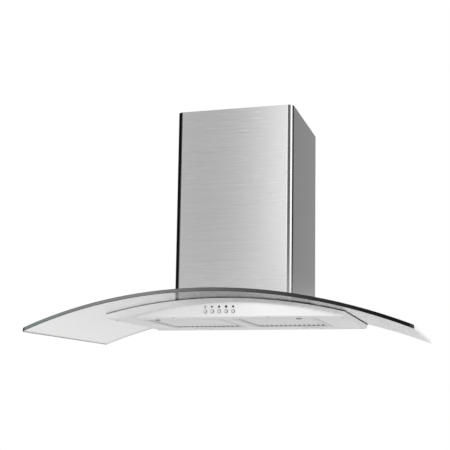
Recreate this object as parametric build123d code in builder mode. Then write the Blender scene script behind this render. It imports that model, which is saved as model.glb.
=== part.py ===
from build123d import *
import math
import os

# A wall-hung cooker hood with an arched glass visor, a shallow steel canopy under it and a
# telescopic chimney over it.
#
# Millimetres. X runs to the right seen from the room, Y into the wall and Z up. The wall is
# the plane Y = 0, and the origin lies on it, midway between the two keyholes that hang the
# hood on its wall screws.

# ---------------------------------------------------------------- driving dimensions

hook_height = 250.0            # keyholes above the canopy's underside
sheet = 1.0                    # stainless sheet of the canopy and chimney
box_sheet = 1.2                # galvanised sheet of the blower box
slack = 0.3                    # gap between pieces that are only laid together
screw_slack = 0.2              # round a screw in its hole

# glass visor
glass_width = 900.0
glass_depth = 505.0            # on the centre line
glass_bow = 23.0               # how far the front edge bulges past its corners
glass_rise = 84.5              # of the underside, from the ends to the crown
glass_end_drop = 39.0          # the ends hang this far below the canopy's underside
glass_thickness = 8.0
glass_corner = 10.0
glass_edge_break = 1.0
glass_wall_gap = 1.0
glass_notch_side_gap = 4.0     # notch in the rear edge, round the blower box
glass_notch_front_gap = 7.0
glass_notch_corner = 8.0
gasket_thickness = 2.0
gasket_width = 10.0
gasket_setback = 0.5

# canopy
canopy_width = 576.0           # along its upper edge
canopy_side_lean = 5.0         # how far each side leans in towards the underside
canopy_depth = 387.0           # on the centre line
canopy_bow = 12.5
canopy_corner = 3.0
canopy_flange = 11.0           # turned in over the underside panel

# grease filters, and the openings they close
filter_width = 196.0
filter_depth = 232.0
filter_height = 9.0
filter_middle_gap = 30.0       # between the two filters
filter_rear_margin = 94.0      # from the wall to the filters
filter_gap = 1.5               # round a filter in its opening
filter_skin = 0.8
filter_lip = 10.0
filter_corner = 3.0
opening_lip_height = 9.0
opening_edge_setback = 0.7     # the opening's rear edge in front of the filter's axis
panel_slack = 0.5              # round the underside panel
mesh_pitch = 12.0
mesh_thickness = 1.0
mesh_slack = 0.4
hook_tab_width = 18.0
hook_tab_spacing = 120.0
hook_curl_radius = 1.2
hook_tab_reach = 3.2           # from the filter's rear wall to the axis it swings about
latch_offset = 60.0            # from the filter's middle, outwards
latch_width = 18.0
latch_length = 15.0
latch_thickness = 1.2
latch_grip_width = 12.0
latch_grip_depth = 3.0
latch_grip_setback = 1.6       # from the filter's front face
latch_grip_drop = 2.5
latch_travel = 3.5
latch_tip_gap = 0.3

# push buttons
button_count = 5
button_pitch = 16.7
button_height = 12.5           # centre, above the underside
button_radius = 3.6
button_proud = 2.2             # past its ring, and also its travel
button_length = 12.0
button_play = 0.2
ring_radius = 4.5
ring_lip = 0.8
ring_sleeve_wall = 0.45
ring_sleeve_length = 6.0
stem_radius = 1.6
stem_length = 8.0
bank_width = 88.0
bank_depth = 22.0
bank_height = 14.0
bank_stem_depth = 9.0
button_free_space = 3.0        # between a button's back and the switch bank

# lamps
lamp_spacing = 300.0
lamp_setback = 36.0            # from the wall
lamp_radius = 24.0
lamp_bezel_radius = 28.0
lamp_bezel_height = 0.8
lamp_height = 16.0
lamp_lens_radius = 20.0
lamp_lens_height = 2.5
driver_size = (100.0, 34.0, 16.0)
driver_setback = 22.0

# chimney
chimney_width = 296.0
chimney_depth = 286.0
chimney_corner = 15.0
chimney_top = 525.0            # above the canopy's underside
chimney_flange = 10.0
chimney_seal = 1.5
chimney_seal_width = 3.0
chimney_slip = 3.0             # between the two sections
upper_drop = 4.0               # the upper section's top below the lower one's
upper_flange = 8.0
vent_count = 6
vent_length = 120.0
vent_width = 4.0
vent_pitch = 11.0
vent_top_margin = 62.0
glide_size = (12.0, 25.0)
glide_height = 30.0
bracket_strip = 1.5
bracket_height = 30.0
bracket_reach = 60.0
bracket_drop = 8.0
bracket_foot_width = 240.0
bracket_slot_spacing = 160.0
bracket_slot_length = 14.0
bracket_slot_width = 5.4
bracket_screw_setback = 45.0

# blower box
box_side_room = 17.0           # from the outside of the chimney to the box
box_front_room = 36.0
box_top = 300.0                # above the canopy's underside
box_flange = 12.0
keyhole_spacing = 180.0
keyhole_radius = 5.5
keyhole_neck_width = 6.0
keyhole_neck_length = 12.0
lock_hole_radius = 3.0
lock_hole_height = 70.0        # above the underside

# fan scroll, its impeller and motor; the fan's axis runs along X
fan_setback = 95.0             # axis from the wall
fan_height = 152.0             # axis above the underside
scroll_radius = 76.0           # of the first of its three quarter arcs
scroll_step = 12.0             # growth from one quarter arc to the next
scroll_width = 90.0            # inside
scroll_wall = 2.0
scroll_tongue = 6.0
scroll_flange = 12.0
scroll_flange_height = 3.0
seam_width = 8.0               # of the flange where the scroll's halves meet
seam_thickness = 2.0
inlet_radius = 56.0
inlet_lip = 4.0
impeller_radius = 65.0
impeller_inner_radius = 52.0
impeller_width = 78.0
impeller_ring = 2.0
impeller_disc = 2.5
blade_count = 36
blade_sweep = 10.0             # degrees from a blade's root to its tip
blade_thickness = 1.2
hub_radius = 13.0
hub_length = 20.0
shaft_radius = 4.0
shaft_play = 0.05
shaft_overhang = 10.0
nut_radius = 7.0
nut_height = 5.0
motor_radius = 40.0
motor_length = 60.0
motor_gap = 6.0                # to the impeller's disc
motor_cap = 6.0
bracket_ring_width = 6.0
arm_width = 12.0
arm_thickness = 3.0
arm_count = 3
foot_radius = 6.0
foot_circle_radius = 66.0
bush_height = 3.0

# outlet collar with its two flaps
collar_radius = 74.5
collar_wall = 1.8
collar_height = 50.0
collar_flange_radius = 90.0
collar_flange_height = 2.0
flap_height = 14.0             # of the flaps' axis above the box
flap_thickness = 1.2
flap_play = 1.0
flap_pin_radius = 2.0
flap_pin_play = 0.1
knuckle_radius = 3.6
knuckle_length = 12.0
knuckle_play = 0.5
flap_start = 4.2               # a flap's plate starts this far from its axis
flap_ledge = 3.0

# electrics on top of the blower box
terminal_size = (60.0, 42.0, 28.0)
terminal_wall = 2.0
terminal_lid_height = 2.0
terminal_inset = 5.0
gland_radius = 10.0
gland_bore = 4.0
gland_height = 16.0
capacitor_radius = 16.0
capacitor_height = 55.0
capacitor_inset = 31.0

# fasteners
small_head_radius = 3.6
small_head_height = 1.8
small_shank_radius = 1.8
small_shank_length = 6.0
bolt_head_radius = 9.0
bolt_head_height = 4.0
bolt_shank_radius = 3.0
bolt_washer_radius = 10.0
bolt_washer_height = 1.5
bolt_sleeve_radius = 5.0
bolt_nut_radius = 5.5
bolt_nut_height = 4.0
bolt_spacing = 410.0
bolt_setbacks = (80.0, 330.0)

# ---------------------------------------------------------------- places worked out from them

underside = -hook_height
panel_top = underside + sheet
box_roof = underside + box_top
chimney_roof = underside + chimney_top
glass_half = glass_width / 2
canopy_half = canopy_width / 2
floor_half = canopy_half - canopy_side_lean
chimney_half = chimney_width / 2
box_width = chimney_width - 2 * box_side_room
box_depth = chimney_depth - box_front_room
box_half = box_width / 2
glass_notch_width = box_width + 2 * glass_notch_side_gap
glass_notch_depth = box_depth + glass_notch_front_gap
deepest = glass_depth + sheet          # further forward than any piece
tallest = chimney_top + glass_end_drop


def chord_radius(half_chord, rise):
    """Radius of the arc with this half chord and rise."""
    return (half_chord**2 + rise**2) / (2 * rise)


glass_radius = chord_radius(glass_half, glass_rise)          # underside of the glass
glass_top_radius = glass_radius + glass_thickness
canopy_radius = glass_radius - gasket_thickness              # top of the canopy
arch_centre = underside + glass_rise - glass_end_drop - glass_radius
glass_bow_radius = chord_radius(glass_half, glass_bow)
canopy_bow_radius = chord_radius(canopy_half, canopy_bow)


def arch_height(radius, x=0):
    """Height of the arc of this radius about the glass's centre of curvature."""
    return arch_centre + math.sqrt(radius**2 - x**2)


def arch_plane(radius, x, y):
    """Plane touching the arc's surface, on the arc's radius through X of the glass's underside."""
    tilt = math.asin(x / glass_radius)
    return Plane(
        origin=(radius * math.sin(tilt), y, arch_centre + radius * math.cos(tilt)),
        x_dir=(math.cos(tilt), 0, -math.sin(tilt)),
        z_dir=(math.sin(tilt), 0, math.cos(tilt)),
    )


def arch_section(inner_radius, outer_radius, half_width):
    """Draw the face between two arcs about the glass's centre of curvature."""
    with BuildLine() as outline:
        inner = ThreePointArc(
            (-half_width, arch_height(inner_radius, half_width)),
            (0, arch_height(inner_radius)),
            (half_width, arch_height(inner_radius, half_width)),
        )
        outer = ThreePointArc(
            (-half_width, arch_height(outer_radius, half_width)),
            (0, arch_height(outer_radius)),
            (half_width, arch_height(outer_radius, half_width)),
        )
        Line(inner @ 0, outer @ 0)
        Line(inner @ 1, outer @ 1)
    make_face(outline.edges())


def cut_below_arch(radius):
    """Cut away what lies below the arched surface of this radius."""
    with BuildSketch(Plane.XZ) as below:
        arch_section(radius - tallest, radius, glass_half)
    extrude(below.sketch, amount=deepest, mode=Mode.SUBTRACT)


def bowed_plan(half_width, back, front, radius, mode=Mode.ADD):
    """Draw a plan outline with an arched front edge."""
    side_front = front + radius - math.sqrt(radius**2 - half_width**2)
    with BuildLine() as outline:
        edge = ThreePointArc((-half_width, side_front), (0, front), (half_width, side_front))
        Polyline(edge @ 1, (half_width, back), (-half_width, back), edge @ 0)
    make_face(outline.edges(), mode=mode)


def canopy_inset_plan(half_width, inset, mode=Mode.ADD):
    """Draw the canopy's plan, moved in from its back and front."""
    bowed_plan(half_width, -inset, inset - canopy_depth, canopy_bow_radius - inset, mode)


def front_corners(sketch):
    """The two corners of a sketch that lie furthest from the wall."""
    return sketch.vertices().sort_by(Axis.Y)[:2]


def cut_cover_holes():
    """Cut the screw holes shared by the blower box's front flange and its cover."""
    with BuildSketch(Plane.XZ.offset(box_depth - 2 * box_sheet)) as holes:
        with Locations(cover_screw_places):
            Circle(small_shank_radius + screw_slack)
    extrude(holes.sketch, amount=4 * box_sheet, mode=Mode.SUBTRACT)


def cut_box_screw_holes():
    """Cut the screw holes shared by the blower box's lower flange and the canopy's top."""
    for hole_x, hole_y in box_screw_places:
        with BuildSketch(arch_plane(canopy_radius + 2 * box_sheet, hole_x, hole_y)) as hole:
            Circle(small_shank_radius + screw_slack)
        extrude(hole.sketch, amount=-4 * box_sheet, mode=Mode.SUBTRACT)


def plan_rectangle(half_width, front, back=0.0, corner=0.0, mode=Mode.ADD):
    """Draw a rectangle about X = 0 between two distances from the wall."""
    with Locations((0, (front + back) / 2)):
        if corner:
            RectangleRounded(2 * half_width, back - front, corner, mode=mode)
        else:
            Rectangle(2 * half_width, back - front, mode=mode)


# filters: each is described about its own middle, on one side of the hood
filter_middle = (filter_middle_gap + filter_width) / 2
filter_back = -filter_rear_margin
filter_front = filter_back - filter_depth
filter_y = (filter_back + filter_front) / 2
hook_axis_y = filter_back + hook_tab_reach
hook_axis_z = panel_top + slack + hook_curl_radius
opening_half = filter_width / 2 + filter_gap
opening_front = filter_front - filter_gap
opening_back = hook_axis_y - opening_edge_setback
opening_y = (opening_front + opening_back) / 2
opening_depth = opening_back - opening_front

# buttons, on the canopy's front face
button_z = underside + button_height
button_xs = [(i - (button_count - 1) / 2) * button_pitch for i in range(button_count)]
ring_bore = button_radius + button_play
sleeve_radius = ring_bore + ring_sleeve_wall
button_face = canopy_depth + ring_lip + button_proud         # distance in front of the wall
button_back = button_face - button_length
bank_front = button_back - button_free_space
bank_floor = button_z - bank_height / 2

# lamps and glass bolts
lamp_places = [(-lamp_spacing / 2, -lamp_setback), (lamp_spacing / 2, -lamp_setback)]
bolt_places = [(side * bolt_spacing / 2, -setback) for side in (-1, 1) for setback in bolt_setbacks]
panel_screw_inset = (canopy_flange + sheet) / 2
panel_screw_places = [
    (side * x, y)
    for side in (-1, 1)
    for x, y in (
        (floor_half - panel_screw_inset, -lamp_setback),
        (floor_half - panel_screw_inset, filter_front),
        (filter_middle, panel_screw_inset - canopy_depth + canopy_bow * (filter_middle / canopy_half)**2),
    )
]

# fan: three quarter arcs with growing radii make the scroll; its channel then runs up
fan_y = -fan_setback
fan_z = underside + fan_height
scroll_radii = [scroll_radius + i * scroll_step for i in range(3)]
first_centre = (fan_y + scroll_step / 2, fan_z - scroll_step / 2)
second_centre = (first_centre[0] - scroll_step, first_centre[1])
third_centre = (second_centre[0], second_centre[1] + scroll_step)
channel_back = first_centre[0]
channel_front = third_centre[0] - scroll_radii[2]
scroll_top = box_roof - box_sheet
scroll_half_width = scroll_width / 2
outlet_y = (channel_back + channel_front) / 2
outlet_screw_x = scroll_half_width + scroll_flange - small_head_radius - sheet
outlet_screw_y = (channel_back - channel_front) / 2 + scroll_flange - small_head_radius - sheet
outlet_screw_places = [
    (x, outlet_y + y)
    for x in (-outlet_screw_x, outlet_screw_x)
    for y in (-outlet_screw_y, outlet_screw_y)
]
collar_bore = collar_radius - collar_wall
flap_axis_z = box_roof + flap_height
flap_radius = collar_bore - flap_play

# screws along the seam of the scroll, on the flange outside each arc and beside the channel
seam_offset = scroll_wall + seam_width / 2
seam_screw_places = [
    *[
        (centre[0] + (radius + seam_offset) * math.cos(math.radians(angle)),
         centre[1] + (radius + seam_offset) * math.sin(math.radians(angle)))
        for centre, radius, angle in zip((first_centre, second_centre, third_centre), scroll_radii,
                                         (45, -45, -135))
    ],
    (channel_front - seam_offset, fan_z + scroll_radius),
    (channel_back + seam_offset, scroll_top - 2 * scroll_flange),
]

# screws of the blower box's front cover
canopy_crown = arch_height(canopy_radius)
cover_screw_x = box_half - box_flange / 2
cover_screw_rise = (box_roof - canopy_crown) / 3
cover_screw_places = [
    (x, canopy_crown + (row + 0.5) * cover_screw_rise)
    for x in (-cover_screw_x, cover_screw_x)
    for row in range(3)
]

# screws that tie the blower box down on the canopy
box_screw_x = box_half - box_flange / 2
box_screw_places = [
    *[(side * box_screw_x, -box_depth * part) for side in (-1, 1) for part in (0.25, 0.75)],
    *[(side * box_screw_x / 2, box_flange / 2 - box_depth) for side in (-1, 1)],
]

# chimney sections
glass_top = arch_height(glass_top_radius)
upper_half = chimney_half - sheet - chimney_slip
upper_front = -(chimney_depth - sheet - chimney_slip)
upper_back = -(sheet + chimney_slip)
upper_bottom = glass_top + slack
upper_roof = chimney_roof - upper_drop
bracket_top = upper_roof - bracket_drop


def plane_along_x(x, y=fan_y, z=fan_z):
    """Plane that faces along X, with its own X axis towards the wall and Y axis up."""
    return Plane(origin=(x, y, z), x_dir=(0, 1, 0), z_dir=(1, 0, 0))


def screw(plane, shank_length=small_shank_length):
    """A domed screw, its head standing on the plane and its shank running down."""
    with BuildPart() as fastener:
        with BuildSketch(plane):
            Circle(small_head_radius)
        extrude(amount=small_head_height)
        with BuildSketch(plane):
            Circle(small_shank_radius)
        extrude(amount=-shank_length)
    return fastener.part


# ---------------------------------------------------------------- canopy

with BuildPart() as canopy_shell:
    with BuildSketch(Plane.XZ):
        with BuildLine():
            crown = ThreePointArc(
                (-canopy_half, arch_height(canopy_radius, canopy_half)),
                (0, arch_height(canopy_radius)),
                (canopy_half, arch_height(canopy_radius, canopy_half)),
            )
            Polyline(crown @ 1, (floor_half, underside), (-floor_half, underside), crown @ 0)
        make_face()
    extrude(amount=deepest)
    with BuildSketch(Plane.XY.offset(underside)) as canopy_plan:
        canopy_inset_plan(canopy_half, 0)
        fillet(front_corners(canopy_plan), radius=canopy_corner)
    extrude(amount=tallest, mode=Mode.INTERSECT)
    offset(amount=-sheet, openings=canopy_shell.faces().sort_by(Axis.Z)[0])
    # flange turned in over the edge of the underside panel
    with BuildSketch(Plane.XY.offset(panel_top)):
        canopy_inset_plan(floor_half - sheet / 2, sheet / 2)
        canopy_inset_plan(floor_half - canopy_flange, canopy_flange, mode=Mode.SUBTRACT)
        with Locations(panel_screw_places):
            Circle(small_shank_radius + screw_slack, mode=Mode.SUBTRACT)
    extrude(amount=sheet)
    # way up into the blower box
    with BuildSketch(Plane.XY.offset(panel_top + sheet)):
        plan_rectangle(box_half - box_flange, box_flange - box_depth, -box_flange)
    extrude(amount=tallest, mode=Mode.SUBTRACT)
    # holes for the buttons' rings
    with BuildSketch(Plane.XZ.offset(canopy_depth - 2 * sheet)):
        with Locations([(x, button_z) for x in button_xs]):
            Circle(sleeve_radius + screw_slack / 2)
    extrude(amount=3 * sheet, mode=Mode.SUBTRACT)
    # holes for the glass bolts
    for bolt_x, bolt_y in bolt_places:
        with BuildSketch(arch_plane(canopy_radius, bolt_x, bolt_y)):
            Circle(bolt_shank_radius + screw_slack)
        extrude(amount=-2 * sheet, mode=Mode.SUBTRACT)
    cut_box_screw_holes()

with BuildPart() as underside_panel:
    with BuildSketch(Plane.XY.offset(underside)):
        canopy_inset_plan(floor_half - sheet - panel_slack, sheet + panel_slack)
        with Locations((-filter_middle, opening_y), (filter_middle, opening_y)):
            Rectangle(2 * opening_half, opening_depth, mode=Mode.SUBTRACT)
        with Locations(lamp_places):
            Circle(lamp_radius + slack, mode=Mode.SUBTRACT)
        with Locations(panel_screw_places):
            Circle(small_shank_radius + screw_slack, mode=Mode.SUBTRACT)
    extrude(amount=sheet)
    # lips turned up along the front and sides of each filter opening
    with BuildSketch(Plane.XY.offset(panel_top)):
        with Locations((-filter_middle, opening_y - sheet / 2), (filter_middle, opening_y - sheet / 2)):
            Rectangle(2 * (opening_half + sheet), opening_depth + sheet)
        with Locations((-filter_middle, opening_y), (filter_middle, opening_y)):
            Rectangle(2 * opening_half, opening_depth, mode=Mode.SUBTRACT)
    extrude(amount=opening_lip_height)

with BuildPart() as panel_screws:
    for screw_x, screw_y in panel_screw_places:
        add(screw(Plane(origin=(screw_x, screw_y, underside), z_dir=(0, 0, -1)), canopy_flange / 2))

# ---------------------------------------------------------------- glass visor and its fixings

with BuildPart() as curved_glass:
    with BuildSketch(Plane.XZ):
        arch_section(glass_radius, glass_top_radius, glass_half)
    extrude(amount=deepest)
    with BuildSketch(Plane.XY.offset(underside - glass_end_drop)) as glass_plan:
        bowed_plan(glass_half, -glass_wall_gap, -glass_depth, glass_bow_radius)
        fillet(front_corners(glass_plan), radius=glass_corner)
        # notch that lets the blower box through
        with Locations((0, -glass_notch_depth / 2)):
            Rectangle(glass_notch_width, glass_notch_depth, mode=Mode.SUBTRACT)
        fillet([v for v in glass_plan.vertices() if abs(v.Y + glass_notch_depth) < sheet],
               radius=glass_notch_corner)
    extrude(amount=tallest, mode=Mode.INTERSECT)
    for bolt_x, bolt_y in bolt_places:
        with BuildSketch(arch_plane(glass_top_radius + sheet, bolt_x, bolt_y)):
            Circle(bolt_sleeve_radius + slack)
        extrude(amount=-glass_thickness - 2 * sheet, mode=Mode.SUBTRACT)
    rim_back = glass_bow + 2 * glass_edge_break - glass_depth
    glass_rim = curved_glass.edges().filter_by(lambda e: e.center().Y < rim_back)
    chamfer(glass_rim, length=glass_edge_break)

with BuildPart() as glass_gasket:
    with BuildSketch(Plane.XZ):
        arch_section(canopy_radius, glass_radius - slack, canopy_half)
    extrude(amount=deepest)
    with BuildSketch(Plane.XY.offset(underside)) as gasket_plan:
        canopy_inset_plan(canopy_half - gasket_setback, gasket_setback)
        fillet(front_corners(gasket_plan), radius=canopy_corner)
        canopy_inset_plan(canopy_half - gasket_setback - gasket_width,
                          gasket_setback + gasket_width, mode=Mode.SUBTRACT)
        plan_rectangle(glass_notch_width / 2, -glass_notch_depth, mode=Mode.SUBTRACT)
        plan_rectangle(glass_half, -glass_wall_gap, mode=Mode.SUBTRACT)
    extrude(amount=tallest, mode=Mode.INTERSECT)

# each bolt has a dished washer on the glass, a spacer and a sleeve through it, and a nut below
with BuildPart() as glass_bolts:
    for bolt_x, bolt_y in bolt_places:
        with BuildSketch(arch_plane(glass_top_radius + bolt_washer_height, bolt_x, bolt_y)):
            Circle(bolt_head_radius)
        extrude(amount=bolt_head_height)
        with BuildSketch(arch_plane(glass_top_radius + bolt_washer_height, bolt_x, bolt_y)):
            Circle(bolt_shank_radius)
        extrude(amount=-(bolt_washer_height + glass_thickness + gasket_thickness + sheet
                         + bolt_nut_height + sheet))
    crowns = glass_bolts.edges().filter_by(GeomType.CIRCLE).filter_by(
        lambda e: abs(e.radius - bolt_head_radius) < slack)
    chamfer([e for e in crowns if e.center().Z > arch_height(
        glass_top_radius + bolt_washer_height + bolt_head_height / 2, bolt_spacing / 2)],
        length=bolt_head_height / 3)

with BuildPart() as bolt_washers:
    for bolt_x, bolt_y in bolt_places:
        with BuildSketch(arch_plane(glass_top_radius, bolt_x, bolt_y)):
            Circle(bolt_washer_radius)
            Circle(bolt_shank_radius + screw_slack, mode=Mode.SUBTRACT)
        extrude(amount=bolt_washer_height)
        with BuildSketch(arch_plane(glass_top_radius, bolt_x, bolt_y)):
            Circle(bolt_sleeve_radius)
            Circle(bolt_shank_radius + screw_slack, mode=Mode.SUBTRACT)
        extrude(amount=-(glass_thickness + gasket_thickness - screw_slack))

with BuildPart() as bolt_nuts:
    for bolt_x, bolt_y in bolt_places:
        with BuildSketch(arch_plane(canopy_radius - sheet - screw_slack, bolt_x, bolt_y)):
            RegularPolygon(bolt_nut_radius, 6)
            Circle(bolt_shank_radius + screw_slack, mode=Mode.SUBTRACT)
        extrude(amount=-bolt_nut_height)

# ---------------------------------------------------------------- grease filters


def filter_frame(side):
    """Rolled channel frame of one filter, with the two curled tabs that it swings on."""
    middle = side * filter_middle
    latch_x = side * (filter_middle + latch_offset)
    slide_height = latch_thickness + 2 * slack
    grip_back = filter_front + latch_grip_setback + latch_grip_depth
    with BuildPart() as frame:
        with BuildSketch(Plane.XY.offset(underside)):
            with Locations((middle, filter_y)):
                RectangleRounded(filter_width, filter_depth, filter_corner)
        extrude(amount=filter_height)
        with BuildSketch(Plane.XY.offset(underside + filter_skin)):
            with Locations((middle, filter_y)):
                RectangleRounded(filter_width - 2 * filter_skin, filter_depth - 2 * filter_skin,
                                 filter_corner - filter_skin)
        extrude(amount=filter_height - 2 * filter_skin, mode=Mode.SUBTRACT)
        with BuildSketch(Plane.XY.offset(underside)):
            with Locations((middle, filter_y)):
                Rectangle(filter_width - 2 * filter_lip, filter_depth - 2 * filter_lip)
        extrude(amount=filter_height, mode=Mode.SUBTRACT)
        for tab in (-1, 1):
            tab_x = middle + tab * hook_tab_spacing / 2 - hook_tab_width / 2
            with BuildSketch(Plane.YZ.offset(tab_x)):
                with Locations((hook_axis_y, hook_axis_z)):
                    Circle(hook_curl_radius)
                with Locations((hook_axis_y - hook_tab_reach / 2 - filter_skin / 4, hook_axis_z)):
                    Rectangle(hook_tab_reach + filter_skin / 2, hook_curl_radius)
            extrude(amount=hook_tab_width)
        # slot for the latch's tongue and window for its grip
        with BuildSketch(Plane.XZ.offset(-filter_front - 2 * filter_skin)):
            with Locations((latch_x, underside + filter_skin + slide_height / 2)):
                Rectangle(latch_width + 2 * slack, slide_height)
        extrude(amount=3 * filter_skin, mode=Mode.SUBTRACT)
        with BuildSketch(Plane.XY.offset(underside)):
            with Locations((latch_x, grip_back - latch_grip_depth / 2 + latch_travel / 2)):
                Rectangle(latch_grip_width + 2 * slack, latch_grip_depth + latch_travel + 2 * slack)
        extrude(amount=filter_skin, mode=Mode.SUBTRACT)
    return frame.part


def filter_mesh(side):
    """Crimped pack of aluminium mesh held in one filter's channel."""
    middle = side * filter_middle
    latch_x = side * (filter_middle + latch_offset)
    width = filter_width - 2 * (filter_skin + mesh_slack)
    depth = filter_depth - 2 * (filter_skin + mesh_slack)
    low = underside + filter_skin + slack
    high = underside + filter_height - filter_skin - slack - mesh_thickness
    folds = 2 * round(width / mesh_pitch)
    crests = [
        (middle - width / 2 + i * width / folds, high if i % 2 else low)
        for i in range(folds + 1)
    ]
    raised = [(x, z + mesh_thickness) for x, z in reversed(crests)]
    with BuildPart() as mesh:
        with BuildSketch(Plane.XZ.offset(-filter_back + filter_skin + mesh_slack)):
            with BuildLine():
                Polyline(*crests, *raised, close=True)
            make_face()
        extrude(amount=depth)
        with BuildSketch(Plane.XY.offset(underside)):
            with Locations((middle, filter_y)):
                RectangleRounded(width, depth, filter_corner - filter_skin)
        extrude(amount=filter_height, mode=Mode.INTERSECT)
        # cleared round the latch
        with BuildSketch(Plane.XY.offset(underside)):
            with Locations((latch_x, filter_front + (latch_length + latch_travel) / 2)):
                Rectangle(latch_width + 4 * slack, latch_length + latch_travel + 4 * slack)
        extrude(amount=filter_height, mode=Mode.SUBTRACT)
    return mesh.part


def filter_latch(side):
    """Flat sliding latch of one filter, with the grip that hangs below the frame."""
    latch_x = side * (filter_middle + latch_offset)
    tip = opening_front + latch_tip_gap
    floor = underside + filter_skin + slack
    grip_y = filter_front + latch_grip_setback + latch_grip_depth / 2
    with BuildPart() as latch:
        with BuildSketch(Plane.XY.offset(floor)):
            with Locations((latch_x, tip + latch_length / 2)):
                RectangleRounded(latch_width, latch_length, filter_skin)
        extrude(amount=latch_thickness)
        with BuildSketch(Plane.XY.offset(floor)):
            with Locations((latch_x, grip_y)):
                RectangleRounded(latch_grip_width, latch_grip_depth, filter_skin)
        extrude(amount=-(filter_skin + slack + latch_grip_drop))
    return latch.part


# ---------------------------------------------------------------- controls

button_names = ["light_button", "stop_button", "low_speed_button", "middle_speed_button",
                "high_speed_button"]


def push_button(x):
    """Round cap with the stem that reaches into the switch bank."""
    with BuildPart() as button:
        with BuildSketch(Plane.XZ.offset(button_back)):
            with Locations((x, button_z)):
                Circle(button_radius)
        extrude(amount=button_length)
        chamfer(button.faces().sort_by(Axis.Y)[0].edges(), length=button_play * 3)
        with BuildSketch(Plane.XZ.offset(button_back)):
            with Locations((x, button_z)):
                Circle(stem_radius)
        extrude(amount=-stem_length)
    return button.part


with BuildPart() as button_rings:
    with BuildSketch(Plane.XZ.offset(canopy_depth)):
        with Locations([(x, button_z) for x in button_xs]):
            Circle(ring_radius)
            Circle(ring_bore, mode=Mode.SUBTRACT)
    extrude(amount=ring_lip)
    with BuildSketch(Plane.XZ.offset(canopy_depth)):
        with Locations([(x, button_z) for x in button_xs]):
            Circle(sleeve_radius)
            Circle(ring_bore, mode=Mode.SUBTRACT)
    extrude(amount=-ring_sleeve_length)

with BuildPart() as switch_bank:
    with BuildSketch(Plane.XZ.offset(bank_front)):
        with Locations((0, button_z)):
            RectangleRounded(bank_width, bank_height, sheet)
    extrude(amount=-bank_depth)
    with BuildSketch(Plane.XZ.offset(bank_front)):
        with Locations([(x, button_z) for x in button_xs]):
            Circle(stem_radius + slack)
    extrude(amount=-bank_stem_depth, mode=Mode.SUBTRACT)

with BuildPart() as switch_bracket:
    foot_z = panel_top + sheet / 2
    shelf_z = bank_floor - sheet / 2
    leg_x = bank_width / 2
    with BuildSketch(Plane.XZ.offset(bank_front - bank_depth)):
        with BuildLine():
            Polyline((-leg_x - bank_height, foot_z), (-leg_x, foot_z), (-leg_x, shelf_z),
                     (leg_x, shelf_z), (leg_x, foot_z), (leg_x + bank_height, foot_z))
        trace(line_width=sheet)
    extrude(amount=bank_depth)

# ---------------------------------------------------------------- lamps


def lamp_housing(place):
    """Round can with its bezel, and the recess for the lens."""
    with BuildPart() as housing:
        with BuildSketch(Plane.XY.offset(underside)):
            with Locations(place):
                Circle(lamp_bezel_radius)
        extrude(amount=-lamp_bezel_height)
        chamfer(housing.faces().sort_by(Axis.Z)[0].edges(), length=lamp_bezel_height / 2)
        with BuildSketch(Plane.XY.offset(underside)):
            with Locations(place):
                Circle(lamp_radius)
        extrude(amount=lamp_height)
        chamfer(housing.faces().sort_by(Axis.Z)[-1].edges(), length=lamp_lens_height)
        with BuildSketch(Plane.XY.offset(underside - lamp_bezel_height)):
            with Locations(place):
                Circle(lamp_lens_radius)
        extrude(amount=lamp_lens_height, mode=Mode.SUBTRACT)
    return housing.part


def lamp_lens(place):
    """Frosted disc that fills the recess of the housing."""
    with BuildPart() as lens:
        with BuildSketch(Plane.XY.offset(underside - lamp_bezel_height)):
            with Locations(place):
                Circle(lamp_lens_radius - screw_slack)
        extrude(amount=lamp_lens_height)
    return lens.part


with BuildPart() as led_driver:
    driver_width, driver_depth, driver_height = driver_size
    driver_y = -driver_setback - driver_depth / 2
    with BuildSketch(Plane.XY.offset(panel_top)):
        with Locations((0, driver_y)):
            Rectangle(driver_width, driver_depth)
    extrude(amount=driver_height)
    fillet(led_driver.edges().filter_by(Axis.Z), radius=small_shank_radius)
    with BuildSketch(Plane.XY.offset(panel_top)):
        with Locations((0, driver_y)):
            SlotOverall(driver_width + 4 * small_head_radius, 3 * small_head_radius)
    extrude(amount=box_sheet)

# ---------------------------------------------------------------- blower box

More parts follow.
